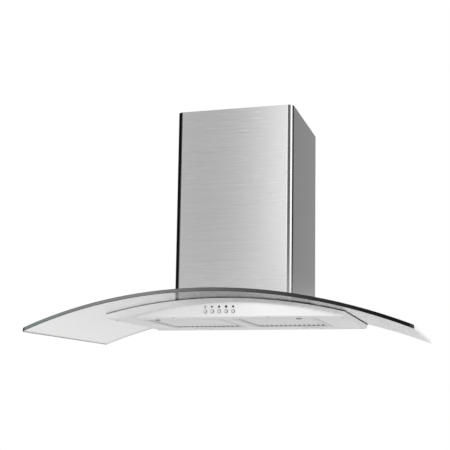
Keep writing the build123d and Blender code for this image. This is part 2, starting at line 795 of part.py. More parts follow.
with BuildPart() as blower_box:
    with BuildSketch(Plane.XY.offset(underside)):
        plan_rectangle(box_half, -box_depth)
    extrude(amount=box_top)
    with BuildSketch(Plane.XY.offset(underside)):
        plan_rectangle(box_half - box_sheet, -box_depth, -box_sheet)
    extrude(amount=box_top - box_sheet, mode=Mode.SUBTRACT)
    # flange round the front opening
    with BuildSketch(Plane.XZ.offset(box_depth - box_sheet)):
        with Locations((0, underside + box_top / 2)):
            Rectangle(box_width, box_top)
        with Locations((0, underside + (box_top - box_flange) / 2)):
            Rectangle(box_width - 2 * box_flange, box_top - box_flange, mode=Mode.SUBTRACT)
    extrude(amount=box_sheet)
    cut_below_arch(canopy_radius)
    # flange that lies on the canopy
    with BuildSketch(Plane.XZ):
        arch_section(canopy_radius, canopy_radius + box_sheet, box_half)
    extrude(amount=box_depth)
    with BuildSketch(Plane.XY.offset(underside)):
        plan_rectangle(box_half - box_flange, box_flange - box_depth, -box_flange)
    extrude(amount=box_top / 2, mode=Mode.SUBTRACT)
    # keyholes that hang the hood, and the round holes that lock it to the wall
    with BuildSketch(Plane.XZ):
        for keyhole_x in (-keyhole_spacing / 2, keyhole_spacing / 2):
            with Locations((keyhole_x, 0)):
                Circle(keyhole_radius)
            with Locations((keyhole_x, keyhole_neck_length / 2)):
                Rectangle(keyhole_neck_width, keyhole_neck_length)
            with Locations((keyhole_x, keyhole_neck_length)):
                Circle(keyhole_neck_width / 2)
            with Locations((keyhole_x, underside + lock_hole_height)):
                Circle(lock_hole_radius)
    extrude(amount=box_sheet, mode=Mode.SUBTRACT)
    # outlet and the screws round it
    with BuildSketch(Plane.XY.offset(scroll_top)):
        with Locations((0, outlet_y)):
            Circle(collar_bore)
        with Locations(outlet_screw_places):
            Circle(small_shank_radius + screw_slack)
    extrude(amount=box_sheet, mode=Mode.SUBTRACT)
    cut_cover_holes()
    cut_box_screw_holes()

with BuildPart() as blower_cover:
    with BuildSketch(Plane.XZ.offset(box_depth)):
        with Locations((0, underside + box_top / 2)):
            Rectangle(box_width, box_top)
    extrude(amount=box_sheet)
    cut_below_arch(canopy_radius + slack)
    cut_cover_holes()

with BuildPart() as cover_screws:
    for screw_x, screw_z in cover_screw_places:
        add(screw(Plane(origin=(screw_x, -box_depth - box_sheet, screw_z), x_dir=(1, 0, 0),
                        z_dir=(0, -1, 0))))

with BuildPart() as box_screws:
    for screw_x, screw_y in box_screw_places:
        add(screw(arch_plane(canopy_radius + box_sheet, screw_x, screw_y)))

# ---------------------------------------------------------------- fan


# the scroll's halves meet in the middle plane; the impeller's disc lies there too
tongue_point = (channel_back, first_centre[1] + scroll_radii[0])
foot_angles = [-90 + i * 360 / arm_count for i in range(arm_count)]
scroll_side = scroll_half_width + scroll_wall
motor_inner = -motor_gap                       # the motor's end nearest the impeller's disc
motor_outer = motor_inner - motor_length
ring_outer = motor_outer + motor_cap
foot_height = -scroll_side - bush_height - ring_outer


def scroll_outline():
    """Draw the scroll's cavity: three growing quarter arcs that run into the upright channel."""
    with BuildLine() as outline:
        CenterArc(first_centre, scroll_radii[0], 90, -90)
        CenterArc(second_centre, scroll_radii[1], 0, -90)
        CenterArc(third_centre, scroll_radii[2], -90, -90)
        Polyline((channel_front, third_centre[1]), (channel_front, box_roof),
                 (channel_back, box_roof), tongue_point)
    cavity = make_face(outline.edges())
    fillet(cavity.vertices().sort_by_distance(tongue_point)[0], radius=scroll_tongue)


def scroll_half(side):
    """One half of the scroll housing, from its middle plane to its side plate."""
    with BuildPart() as half:
        with BuildSketch(Plane.YZ):
            scroll_outline()
            offset(amount=scroll_wall)
        extrude(amount=side * scroll_side)
        # flange along the seam, with its screw holes
        with BuildSketch(Plane.YZ):
            scroll_outline()
            offset(amount=scroll_wall + seam_width)
            with Locations(seam_screw_places):
                Circle(small_shank_radius + screw_slack, mode=Mode.SUBTRACT)
        extrude(amount=side * seam_thickness)
        # mounting flange round the outlet
        with BuildSketch(Plane.XY.offset(scroll_top - scroll_flange_height)):
            with Locations((side * (scroll_half_width + scroll_flange) / 2, outlet_y)):
                Rectangle(scroll_half_width + scroll_flange,
                          channel_back - channel_front + 2 * scroll_flange)
            with Locations(outlet_screw_places):
                Circle(small_shank_radius + screw_slack, mode=Mode.SUBTRACT)
        extrude(amount=scroll_flange_height)
        with BuildSketch(Plane.YZ):
            scroll_outline()
        extrude(amount=side * scroll_half_width, mode=Mode.SUBTRACT)
        with BuildSketch(Plane.XY.offset(scroll_top)):
            plan_rectangle(box_half, -box_depth)
        extrude(amount=box_top, mode=Mode.SUBTRACT)
        # inlet with its raised lip
        with BuildSketch(plane_along_x(side * scroll_side)):
            Circle(inlet_radius + scroll_wall)
        extrude(amount=side * inlet_lip)
        with BuildSketch(plane_along_x(side * (scroll_side + inlet_lip))):
            Circle(inlet_radius)
        extrude(amount=-side * (inlet_lip + 2 * scroll_wall), mode=Mode.SUBTRACT)
        if side < 0:
            with BuildSketch(plane_along_x(-scroll_side)):
                with PolarLocations(foot_circle_radius, arm_count, start_angle=foot_angles[0]):
                    Circle(small_shank_radius + screw_slack)
            extrude(amount=scroll_wall, mode=Mode.SUBTRACT)
    return half.part


with BuildPart() as seam_screws:
    for screw_y, screw_z in seam_screw_places:
        add(screw(plane_along_x(seam_thickness, screw_y, screw_z), 2 * seam_thickness + sheet))


def impeller_blade():
    """Section of one blade, which scoops towards the way the impeller turns."""
    root = impeller_inner_radius
    tip = impeller_radius - impeller_ring / 2
    middle = (root + tip) / 2
    thick = math.degrees(blade_thickness / middle)
    with BuildSketch() as blade:
        with BuildLine():
            concave = ThreePointArc(
                Vector(root, 0),
                Vector(middle, 0).rotate(Axis.Z, -blade_sweep / 4),
                Vector(tip, 0).rotate(Axis.Z, -blade_sweep),
            )
            convex = ThreePointArc(
                Vector(root, 0).rotate(Axis.Z, thick),
                Vector(middle, 0).rotate(Axis.Z, thick - blade_sweep / 4),
                Vector(tip, 0).rotate(Axis.Z, thick - blade_sweep),
            )
            Line(concave @ 0, convex @ 0)
            Line(concave @ 1, convex @ 1)
        make_face()
    return blade.sketch


blade_section = impeller_blade()

with BuildPart() as impeller:
    with BuildSketch(plane_along_x(-impeller_width / 2)):
        with PolarLocations(0, blade_count):
            add(blade_section)
    extrude(amount=impeller_width)
    # rings that tie the blades' ends together
    for ring_x in (-impeller_width / 2, impeller_width / 2 - impeller_ring):
        with BuildSketch(plane_along_x(ring_x)):
            Circle(impeller_radius)
            Circle(impeller_inner_radius, mode=Mode.SUBTRACT)
        extrude(amount=impeller_ring)
    # driving disc and hub
    with BuildSketch(plane_along_x(0)):
        Circle(impeller_radius)
        with PolarLocations((hub_radius + impeller_inner_radius) / 2, 2 * arm_count):
            Circle(hub_radius / 2, mode=Mode.SUBTRACT)
    extrude(amount=impeller_disc)
    with BuildSketch(plane_along_x(0)):
        Circle(hub_radius)
    extrude(amount=hub_length)
    with BuildSketch(plane_along_x(0)):
        Circle(shaft_radius + shaft_play)
    extrude(amount=hub_length, mode=Mode.SUBTRACT)

shaft_seat = hub_length                        # length of shaft inside the motor
with BuildPart() as motor_shaft:
    with BuildSketch(plane_along_x(motor_inner - shaft_seat)):
        Circle(shaft_radius)
    extrude(amount=shaft_seat + motor_gap + hub_length + shaft_overhang)

with BuildPart() as impeller_nut:
    with BuildSketch(plane_along_x(hub_length)):
        RegularPolygon(nut_radius, 6)
        Circle(shaft_radius + shaft_play, mode=Mode.SUBTRACT)
    extrude(amount=nut_height)

with BuildPart() as fan_motor:
    with BuildSketch(plane_along_x(motor_outer)):
        Circle(motor_radius)
    extrude(amount=motor_length)
    chamfer(fan_motor.edges().filter_by(GeomType.CIRCLE), length=motor_cap - sheet)
    with BuildSketch(plane_along_x(motor_outer)):
        Circle(hub_radius)
    extrude(amount=-inlet_lip)
    with BuildSketch(plane_along_x(motor_inner)):
        Circle(shaft_radius + shaft_play)
    extrude(amount=-shaft_seat - slack, mode=Mode.SUBTRACT)

with BuildPart() as motor_bracket:
    with BuildSketch(plane_along_x(ring_outer)):
        Circle(motor_radius + screw_slack + bracket_ring_width)
    extrude(amount=bracket_ring_width)
    # arms and the feet at their ends
    with BuildSketch(plane_along_x(ring_outer)):
        with PolarLocations(foot_circle_radius / 2, arm_count, start_angle=foot_angles[0]):
            Rectangle(foot_circle_radius, arm_width)
        with PolarLocations(foot_circle_radius, arm_count, start_angle=foot_angles[0]):
            Circle(foot_radius)
    extrude(amount=arm_thickness)
    with BuildSketch(plane_along_x(ring_outer)):
        with PolarLocations(foot_circle_radius, arm_count, start_angle=foot_angles[0]):
            Circle(foot_radius)
    extrude(amount=foot_height)
    with BuildSketch(plane_along_x(ring_outer)):
        Circle(motor_radius + screw_slack)
        with PolarLocations(foot_circle_radius, arm_count, start_angle=foot_angles[0]):
            Circle(small_shank_radius + screw_slack)
    extrude(amount=foot_height, mode=Mode.SUBTRACT)

with BuildPart() as motor_bushes:
    with BuildSketch(plane_along_x(-scroll_side - bush_height)):
        with PolarLocations(foot_circle_radius, arm_count, start_angle=foot_angles[0]):
            Circle(foot_radius)
            Circle(small_shank_radius + screw_slack, mode=Mode.SUBTRACT)
    extrude(amount=bush_height)

with BuildPart() as motor_screws:
    with BuildSketch(plane_along_x(ring_outer)):
        with PolarLocations(foot_circle_radius, arm_count, start_angle=foot_angles[0]):
            Circle(small_head_radius)
    extrude(amount=-small_head_height)
    with BuildSketch(plane_along_x(ring_outer)):
        with PolarLocations(foot_circle_radius, arm_count, start_angle=foot_angles[0]):
            Circle(small_shank_radius)
    extrude(amount=foot_height + bush_height + scroll_wall)

# ---------------------------------------------------------------- outlet collar and its flaps

pin_bore = flap_pin_radius + flap_pin_play
ledge_top = flap_axis_z - flap_thickness / 2 - slack

with BuildPart() as outlet_collar:
    with BuildSketch(Plane.XY.offset(box_roof)):
        with Locations((0, outlet_y)):
            Circle(collar_radius)
    extrude(amount=collar_height)
    chamfer(outlet_collar.faces().sort_by(Axis.Z)[-1].edges(), length=collar_wall / 2)
    with BuildSketch(Plane.XY.offset(box_roof)):
        with Locations((0, outlet_y)):
            Circle(collar_flange_radius)
        with Locations(outlet_screw_places):
            Circle(small_shank_radius + screw_slack, mode=Mode.SUBTRACT)
    extrude(amount=collar_flange_height)
    with BuildSketch(Plane.XY.offset(box_roof)):
        with Locations((0, outlet_y)):
            Circle(collar_bore)
    extrude(amount=collar_height, mode=Mode.SUBTRACT)
    # ledge that the closed flaps lie on
    with BuildSketch(Plane.XY.offset(ledge_top)):
        with Locations((0, outlet_y)):
            Circle(collar_bore + collar_wall / 2)
            Circle(collar_bore - flap_ledge, mode=Mode.SUBTRACT)
    extrude(amount=-collar_wall)
    with BuildSketch(plane_along_x(-collar_radius, outlet_y, flap_axis_z)):
        Circle(pin_bore)
    extrude(amount=2 * collar_radius, mode=Mode.SUBTRACT)

with BuildPart() as flap_pin:
    with BuildSketch(plane_along_x(-collar_bore, outlet_y, flap_axis_z)):
        Circle(flap_pin_radius)
    extrude(amount=2 * collar_bore)
    with BuildSketch(plane_along_x(-collar_bore - collar_wall / 2, outlet_y, flap_axis_z)):
        Circle(flap_pin_radius)
    extrude(amount=2 * collar_bore + collar_wall)

with BuildPart() as outlet_screws:
    for screw_x, screw_y in outlet_screw_places:
        add(screw(Plane(origin=(screw_x, screw_y, box_roof + collar_flange_height)),
                  collar_flange_height + box_sheet + scroll_flange_height))


def outlet_flap(side, knuckle_offset):
    """Half-round flap on the front (-1) or wall (1) side of the pin, with its two knuckles."""
    knuckle_y = side * (flap_start + flap_thickness / 2)
    with BuildPart() as flap:
        with BuildSketch(Plane.XY.offset(flap_axis_z - flap_thickness / 2)):
            with Locations((0, outlet_y)):
                Circle(flap_radius)
            with Locations((0, outlet_y + side * (flap_start - flap_radius))):
                Rectangle(2 * flap_radius, 2 * flap_radius, mode=Mode.SUBTRACT)
        extrude(amount=flap_thickness)
        for end in (-1, 1):
            knuckle_x = end * knuckle_offset - knuckle_length / 2
            with BuildSketch(plane_along_x(knuckle_x, outlet_y, flap_axis_z)):
                Circle(knuckle_radius)
                with Locations((knuckle_y / 2, 0)):
                    Rectangle(abs(knuckle_y), flap_thickness)
                Circle(pin_bore, mode=Mode.SUBTRACT)
            extrude(amount=knuckle_length)
    return flap.part


# ---------------------------------------------------------------- electrics on the blower box

terminal_width, terminal_depth, terminal_height = terminal_size
terminal_place = (-box_half + terminal_inset + terminal_width / 2, -terminal_inset - terminal_depth / 2)

with BuildPart() as terminal_box:
    with BuildSketch(Plane.XY.offset(box_roof)):
        with Locations(terminal_place):
            RectangleRounded(terminal_width, terminal_depth, terminal_wall)
    extrude(amount=terminal_height)
    with BuildSketch(Plane.XY.offset(box_roof + terminal_wall)):
        with Locations(terminal_place):
            Rectangle(terminal_width - 2 * terminal_wall, terminal_depth - 2 * terminal_wall)
    extrude(amount=terminal_height, mode=Mode.SUBTRACT)

with BuildPart() as terminal_lid:
    with BuildSketch(Plane.XY.offset(box_roof + terminal_height)):
        with Locations(terminal_place):
            RectangleRounded(terminal_width, terminal_depth, terminal_wall)
            Circle(gland_bore + terminal_wall + screw_slack, mode=Mode.SUBTRACT)
    extrude(amount=terminal_lid_height)

with BuildPart() as cable_gland:
    gland_seat = box_roof + terminal_height + terminal_lid_height
    with BuildSketch(Plane.XY.offset(gland_seat)):
        with Locations(terminal_place):
            RegularPolygon(gland_radius, 6)
    extrude(amount=gland_height / 2)
    with BuildSketch(Plane.XY.offset(gland_seat + gland_height / 2)):
        with Locations(terminal_place):
            Circle(gland_radius - terminal_wall)
    extrude(amount=gland_height / 2)
    chamfer(cable_gland.faces().sort_by(Axis.Z)[-1].edges(), length=terminal_wall)
    with BuildSketch(Plane.XY.offset(gland_seat)):
        with Locations(terminal_place):
            Circle(gland_bore + terminal_wall)
    extrude(amount=-terminal_lid_height - terminal_wall)
    with BuildSketch(Plane.XY.offset(gland_seat + gland_height)):
        with Locations(terminal_place):
            Circle(gland_bore)
    extrude(amount=-2 * gland_height, mode=Mode.SUBTRACT)

with BuildPart() as capacitor:
    capacitor_place = (box_half - capacitor_inset, -capacitor_inset)
    with BuildSketch(Plane.XY.offset(box_roof)):
        with Locations(capacitor_place):
            Circle(capacitor_radius)
    extrude(amount=capacitor_height)
    chamfer(capacitor.faces().sort_by(Axis.Z)[-1].edges(), length=terminal_wall)

# ---------------------------------------------------------------- chimney

with BuildPart() as lower_chimney:
    with BuildSketch(Plane.XY.offset(underside)) as lower_plan:
        plan_rectangle(chimney_half, -chimney_depth)
        fillet(front_corners(lower_plan), radius=chimney_corner)
        offset(amount=-sheet, mode=Mode.SUBTRACT)
        plan_rectangle(chimney_half - chimney_flange, -2 * sheet, sheet, mode=Mode.SUBTRACT)
    extrude(amount=chimney_top)
    cut_below_arch(glass_top_radius + chimney_seal)

with BuildPart() as chimney_strip:
    with BuildSketch(Plane.XZ):
        arch_section(glass_top_radius, glass_top_radius + chimney_seal, glass_half)
    extrude(amount=deepest)
    with BuildSketch(Plane.XY.offset(underside)) as strip_plan:
        plan_rectangle(chimney_half + sheet / 2, -chimney_depth - sheet / 2, -glass_wall_gap)
        fillet(front_corners(strip_plan), radius=chimney_corner + sheet / 2)
        offset(amount=-chimney_seal_width, mode=Mode.SUBTRACT)
        plan_rectangle(chimney_half - chimney_seal_width, -chimney_flange, mode=Mode.SUBTRACT)
    extrude(amount=tallest, mode=Mode.INTERSECT)

with BuildPart() as upper_chimney:
    with BuildSketch(Plane.XY.offset(upper_bottom)) as upper_plan:
        plan_rectangle(upper_half, upper_front, upper_back)
        fillet(front_corners(upper_plan), radius=chimney_corner - sheet - chimney_slip)
        offset(amount=-sheet, mode=Mode.SUBTRACT)
        plan_rectangle(upper_half - upper_flange, upper_back - 2 * sheet, upper_back + sheet,
                       mode=Mode.SUBTRACT)
    extrude(amount=upper_roof - upper_bottom)
    # air vents in both sides
    vent_z = upper_roof - vent_top_margin - (vent_count - 1) * vent_pitch / 2
    with BuildSketch(Plane.YZ.offset(-upper_half)):
        with Locations((upper_front / 2, vent_z)):
            with GridLocations(0, vent_pitch, 1, vent_count):
                SlotOverall(vent_length, vent_width)
    extrude(amount=2 * upper_half, mode=Mode.SUBTRACT)
    # holes for the bracket's screws
    with BuildSketch(Plane.YZ.offset(-upper_half)):
        with Locations((-bracket_screw_setback, bracket_top - bracket_height / 2)):
            Circle(small_shank_radius + screw_slack)
    extrude(amount=2 * upper_half, mode=Mode.SUBTRACT)

with BuildPart() as chimney_glides:
    glide_thickness, glide_length = chimney_slip - slack, glide_size[1]
    for glide_side in (-1, 1):
        with BuildSketch(Plane.YZ.offset(glide_side * upper_half)):
            for glide_y in (upper_front * 0.25, upper_front * 0.75):
                with Locations((glide_y, upper_bottom + glide_height)):
                    SlotOverall(glide_length, glide_size[0])
        extrude(amount=glide_side * glide_thickness)

# hat-shaped strap: its middle lies on the wall, its ends turn forward inside the upper section
with BuildPart() as wall_bracket:
    ear_x = upper_half - sheet - slack - bracket_strip / 2
    foot_y = -bracket_strip / 2
    step_y = upper_back - sheet - slack - bracket_strip / 2
    step_x = bracket_foot_width / 2 + bracket_strip * 4
    with BuildSketch(Plane.XY.offset(bracket_top - bracket_height)):
        with BuildLine():
            Polyline((-ear_x, -bracket_reach), (-ear_x, step_y), (-step_x, step_y),
                     (-bracket_foot_width / 2, foot_y), (bracket_foot_width / 2, foot_y),
                     (step_x, step_y), (ear_x, step_y), (ear_x, -bracket_reach))
        trace(line_width=bracket_strip)
    extrude(amount=bracket_height)
    with BuildSketch(Plane.XZ):
        with Locations((0, bracket_top - bracket_height / 2)):
            with GridLocations(bracket_slot_spacing, 0, 2, 1):
                SlotOverall(bracket_slot_length, bracket_slot_width)
    extrude(amount=bracket_strip, mode=Mode.SUBTRACT)
    with BuildSketch(Plane.YZ.offset(-upper_half)):
        with Locations((-bracket_screw_setback, bracket_top - bracket_height / 2)):
            Circle(small_shank_radius + screw_slack)
    extrude(amount=2 * upper_half, mode=Mode.SUBTRACT)

with BuildPart() as bracket_screws:
    for screw_side in (-1, 1):
        add(screw(Plane(origin=(screw_side * upper_half, -bracket_screw_setback,
                                bracket_top - bracket_height / 2),
                        x_dir=(0, 1, 0), z_dir=(screw_side, 0, 0))))

# ---------------------------------------------------------------- files

pieces = {
    "canopy_shell": canopy_shell.part,
    "underside_panel": underside_panel.part,
    "panel_screws": panel_screws.part,
    "curved_glass": curved_glass.part,
    "glass_gasket": glass_gasket.part,
    "glass_bolts": glass_bolts.part,
    "bolt_washers": bolt_washers.part,
    "bolt_nuts": bolt_nuts.part,
    "filter_frame_left": filter_frame(-1),
    "filter_frame_right": filter_frame(1),
    "filter_mesh_left": filter_mesh(-1),
    "filter_mesh_right": filter_mesh(1),
    "filter_latch_left": filter_latch(-1),
    "filter_latch_right": filter_latch(1),
    "button_rings": button_rings.part,
    "switch_bank": switch_bank.part,
    "switch_bracket": switch_bracket.part,
    "lamp_housing_left": lamp_housing(lamp_places[0]),
    "lamp_housing_right": lamp_housing(lamp_places[1]),
    "lamp_lens_left": lamp_lens(lamp_places[0]),
    "lamp_lens_right": lamp_lens(lamp_places[1]),
    "led_driver": led_driver.part,
    "blower_box": blower_box.part,
    "blower_cover": blower_cover.part,
    "cover_screws": cover_screws.part,
    "box_screws": box_screws.part,
    "scroll_half_left": scroll_half(-1),
    "scroll_half_right": scroll_half(1),
    "seam_screws": seam_screws.part,
    "impeller": impeller.part,
    "motor_shaft": motor_shaft.part,
    "impeller_nut": impeller_nut.part,
    "fan_motor": fan_motor.part,
    "motor_bracket": motor_bracket.part,
    "motor_bushes": motor_bushes.part,
    "motor_screws": motor_screws.part,
    "outlet_collar": outlet_collar.part,
    "outlet_screws": outlet_screws.part,
    "flap_pin": flap_pin.part,
    "flap_front": outlet_flap(-1, knuckle_length / 2 + knuckle_play + knuckle_length),
    "flap_rear": outlet_flap(1, 2 * (knuckle_length + knuckle_play) + knuckle_length),
    "terminal_box": terminal_box.part,
    "terminal_lid": terminal_lid.part,
    "cable_gland": cable_gland.part,
    "capacitor": capacitor.part,
    "lower_chimney": lower_chimney.part,
    "chimney_strip": chimney_strip.part,
    "upper_chimney": upper_chimney.part,
    "chimney_glides": chimney_glides.part,
    "wall_bracket": wall_bracket.part,
    "bracket_screws": bracket_screws.part,
}
for button_name, button_x in zip(button_names, button_xs):
    pieces[button_name] = push_button(button_x)

os.makedirs("parts", exist_ok=True)
for name, piece in pieces.items():
    piece.label = name
    export_step(piece, f"parts/{name}.step")
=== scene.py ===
"""A wall-hung range hood with an arched glass visor, dressed and lit for rendering."""

import math

import bmesh
import bpy
from mathutils import Matrix, Vector


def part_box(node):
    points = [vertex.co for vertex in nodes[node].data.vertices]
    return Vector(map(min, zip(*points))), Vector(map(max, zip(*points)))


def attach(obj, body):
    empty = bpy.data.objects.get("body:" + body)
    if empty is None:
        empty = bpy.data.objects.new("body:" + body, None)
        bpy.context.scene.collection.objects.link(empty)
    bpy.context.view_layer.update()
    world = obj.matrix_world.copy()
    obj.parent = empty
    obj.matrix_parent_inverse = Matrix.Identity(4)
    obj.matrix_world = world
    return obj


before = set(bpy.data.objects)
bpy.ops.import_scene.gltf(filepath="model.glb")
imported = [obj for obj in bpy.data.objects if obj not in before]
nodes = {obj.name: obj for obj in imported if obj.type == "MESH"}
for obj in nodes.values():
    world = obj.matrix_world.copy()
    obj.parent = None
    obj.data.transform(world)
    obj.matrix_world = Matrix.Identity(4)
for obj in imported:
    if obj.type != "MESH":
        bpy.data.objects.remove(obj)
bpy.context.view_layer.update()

MM = 0.001

# ---------------------------------------------------------------- camera

CAMERA_PLACE = (0.6193, -2.4106, -0.4421)
CAMERA_HEADING = math.radians(15.83)     # turned left from straight at the wall
CAMERA_PITCH = math.radians(7.26)        # up from level
CAMERA_ROLL = math.radians(0.79)
CAMERA_LENS = 74.1                       # mm, on a 36 mm sensor
CAMERA_SHIFT = (-0.03, 0.13)


def make_camera():
    """Stand the camera low and to the right, looking slightly up."""
    ahead = Vector((-math.sin(CAMERA_HEADING), math.cos(CAMERA_HEADING), 0))
    look = ahead * math.cos(CAMERA_PITCH) + Vector((0, 0, math.sin(CAMERA_PITCH)))
    level = ahead.cross(Vector((0, 0, 1)))
    right = level * math.cos(CAMERA_ROLL) + level.cross(look) * math.sin(CAMERA_ROLL)
    up = right.cross(look)
    data = bpy.data.cameras.new("camera")
    data.lens = CAMERA_LENS
    data.shift_x, data.shift_y = CAMERA_SHIFT
    camera = bpy.data.objects.new("camera", data)
    turn = Matrix((right, up, -look)).transposed().to_4x4()
    camera.matrix_world = Matrix.Translation(CAMERA_PLACE) @ turn
    bpy.context.scene.collection.objects.link(camera)
    bpy.context.scene.camera = camera


# ---------------------------------------------------------------- shader helpers

NOISE_ROUGHNESS = 0.55
NOISE_SPAN = (0.3, 0.7)                  # holds most of a noise's values


def colour_sockets(sockets):
    """Those sockets of a mix node that it uses for colours."""
    return [socket for socket in sockets if socket.type == "RGBA"]


def tinted(colour, factor):
    """A colour made darker or lighter by a factor."""
    return tuple(min(1.0, part * factor) for part in colour)


class Shader:
    """A material's node tree, with short calls for the nodes that the finishes share."""

    def __init__(self, name, colour, roughness, metallic=0.0):
        self.material = bpy.data.materials.new(name)
        self.material.use_nodes = True
        self.tree = self.material.node_tree
        self.surface = self.tree.nodes["Principled BSDF"]
        self.surface.inputs["Base Color"].default_value = (*colour, 1)
        self.surface.inputs["Roughness"].default_value = roughness
        self.surface.inputs["Metallic"].default_value = metallic
        self.material.diffuse_color = (*colour, 1)

    def node(self, kind, **settings):
        """Add a node with its settings."""
        made = self.tree.nodes.new(kind)
        for key, value in settings.items():
            setattr(made, key, value)
        return made

    def link(self, start, end):
        """Join an output to an input."""
        self.tree.links.new(start, end)

    def set(self, **values):
        """Set plain values on the surface's sockets, an underscore standing for a space."""
        for key, value in values.items():
            self.surface.inputs[key.replace("_", " ")].default_value = value

    def parts(self, output_name):
        """X, Y and Z of one of the object's coordinates, or of its normal."""
        place = self.node("ShaderNodeTexCoord")
        split = self.node("ShaderNodeSeparateXYZ")
        self.link(place.outputs[output_name], split.inputs["Vector"])
        return split.outputs

    def noise(self, stretch, detail=4.0, distortion=0.0):
        """Noise of the object's own coordinates, with so many waves a metre along each axis."""
        place = self.node("ShaderNodeTexCoord")
        mapping = self.node("ShaderNodeMapping")
        mapping.inputs["Scale"].default_value = stretch
        texture = self.node("ShaderNodeTexNoise")
        texture.inputs["Scale"].default_value = 1.0
        texture.inputs["Detail"].default_value = detail
        texture.inputs["Roughness"].default_value = NOISE_ROUGHNESS
        texture.inputs["Distortion"].default_value = distortion
        self.link(place.outputs["Object"], mapping.inputs["Vector"])
        self.link(mapping.outputs["Vector"], texture.inputs["Vector"])
        return texture.outputs["Fac"]

    def spread(self, value, low, high, start=NOISE_SPAN[0], end=NOISE_SPAN[1]):
        """Map a value between start and end to the range low to high."""
        ranged = self.node("ShaderNodeMapRange")
        for key, number in zip(("From Min", "From Max", "To Min", "To Max"), (start, end, low, high)):
            ranged.inputs[key].default_value = number
        self.link(value, ranged.inputs["Value"])
        return ranged.outputs["Result"]

    def blend(self, factor, first, second):
        """Mix two colours, each a tuple or an output."""
        mix = self.node("ShaderNodeMix", data_type="RGBA")
        self.link(factor, mix.inputs["Factor"])
        for socket, colour in zip(colour_sockets(mix.inputs), (first, second)):
            if isinstance(colour, tuple):
                socket.default_value = (*colour, 1)
            else:
                self.link(colour, socket)
        return colour_sockets(mix.outputs)[0]

    def mottled(self, height, colour, contrast):
        """A colour that a noise makes darker and lighter by a share of itself."""
        darker = tinted(colour, 1 - contrast)
        lighter = tinted(colour, 1 + contrast)
        return self.blend(self.spread(height, 0, 1), darker, lighter)

    def times(self, first, second):
        """Multiply two values."""
        product = self.node("ShaderNodeMath", operation="MULTIPLY")
        self.link(first, product.inputs[0])
        self.link(second, product.inputs[1])
        return product.outputs["Value"]

    def colour(self, output):
        """Let an output colour the surface."""
        self.link(output, self.surface.inputs["Base Color"])

    def rough(self, output):
        """Let an output roughen the surface."""
        self.link(output, self.surface.inputs["Roughness"])

    def bump(self, height, depth):
        """Raise the surface by so many metres where the height is 1."""
        bump = self.node("ShaderNodeBump")
        bump.inputs["Strength"].default_value = 1.0
        bump.inputs["Distance"].default_value = depth
        self.link(height, bump.inputs["Height"])
        self.link(bump.outputs["Normal"], self.surface.inputs["Normal"])


# ---------------------------------------------------------------- brushed steel

BRUSH_GRAIN = (9, 9, 560)                # waves a metre along X, Y and Z
BRUSH_STROKES = (24, 24, 290)
BRUSH_PATCHES = (5, 5, 8)                # where the strokes crowd
BRUSH_DEPTH = 0.000004
BRUSH_PULL = 0.5                         # how far the grain draws out a highlight
BRUSH_TURN = 0.25                        # of a full turn, from the tangent to the grain
GRAIN_CONTRAST = 0.25                    # in shares of the steel's contrast, as are the next two
DARK_STROKE_CONTRAST = 1.2
LIGHT_STROKE_CONTRAST = 1.6
LIGHT_STROKE_LIMITS = (0.62, 0.74)       # values of the noise at which a light stroke begins and is full
DARK_STROKE_LIMITS = (0.26, 0.38)        # and at which a dark one is full and ends
PATCH_LIMITS = (0.42, 0.58)              # values of the noise at which a patch begins and is full
STROKES_OFF_PATCHES = 0.4                # strength of the strokes outside the patches
STROKES_ON_SIDES = 0.25                  # and on faces that turn from the front
FRONT_LIMITS = (-0.9, -0.3)              # Y of the normal, from the front to a side
PAINTED_CORNER_REFLECTION = (0.01, 0.01, 0.01)         # a dark reflection painted into the left front corner
CORNER_LEFT_LIMITS = (-0.28, -0.12)      # X of the normal, from inside that corner to outside
CORNER_FRONT_LIMITS = (-0.46, -0.36)     # and Y
METAL_ROUGHNESS_SPAN = (0.9, 1.15)       # in shares of the roughness


def brushed_steel(name, colour, roughness, contrast):
    """Steel brushed level: a fine grain, sparse strokes across its front and a dark reflection painted into
    its left front corner.
    """
    shader = Shader(name, colour, roughness, metallic=1.0)
    fine = shader.noise(BRUSH_GRAIN, detail=4)
    strokes = shader.noise(BRUSH_STROKES, detail=1)
    patches = shader.noise(BRUSH_PATCHES, detail=2)
    facing = shader.parts("Normal")
    front = shader.spread(facing["Y"], 1.0, STROKES_ON_SIDES, *FRONT_LIMITS)
    crowded = shader.spread(patches, STROKES_OFF_PATCHES, 1, *PATCH_LIMITS)
    light = shader.times(shader.spread(strokes, 0, 1, *LIGHT_STROKE_LIMITS), crowded)
    dark = shader.times(shader.spread(strokes, 1, 0, *DARK_STROKE_LIMITS), crowded)
    plain = shader.mottled(fine, colour, GRAIN_CONTRAST * contrast)
    dark_stroke = tinted(colour, 1 - DARK_STROKE_CONTRAST * contrast)
    light_stroke = tinted(colour, 1 + LIGHT_STROKE_CONTRAST * contrast)
    darker = shader.blend(shader.times(dark, front), plain, dark_stroke)
    struck = shader.blend(shader.times(light, front), darker, light_stroke)
    # painted reflection: the corner between the front and the left side is coloured dark
    leftwards = shader.spread(facing["X"], 1, 0, *CORNER_LEFT_LIMITS)
    forwards = shader.spread(facing["Y"], 1, 0, *CORNER_FRONT_LIMITS)
    shader.colour(shader.blend(shader.times(leftwards, forwards), struck, PAINTED_CORNER_REFLECTION))
    smoother, rougher = METAL_ROUGHNESS_SPAN
    shader.rough(shader.spread(fine, roughness * smoother, roughness * rougher))
    shader.bump(fine, BRUSH_DEPTH)
    shader.set(Anisotropic=BRUSH_PULL, Anisotropic_Rotation=BRUSH_TURN)
    tangent = shader.node("ShaderNodeTangent", direction_type="RADIAL", axis="Z")
    shader.link(tangent.outputs["Tangent"], shader.surface.inputs["Tangent"])
    return shader.material


# ---------------------------------------------------------------- other metals

SATIN_DEPTH = 0.000004
CLOUD_WAVES = (7, 7, 7)
CLOUD_SHARE = 0.5                        # of the darker tone where the cloud is thickest
CLOUD_CONTRAST = 1.5                     # of the metal's contrast


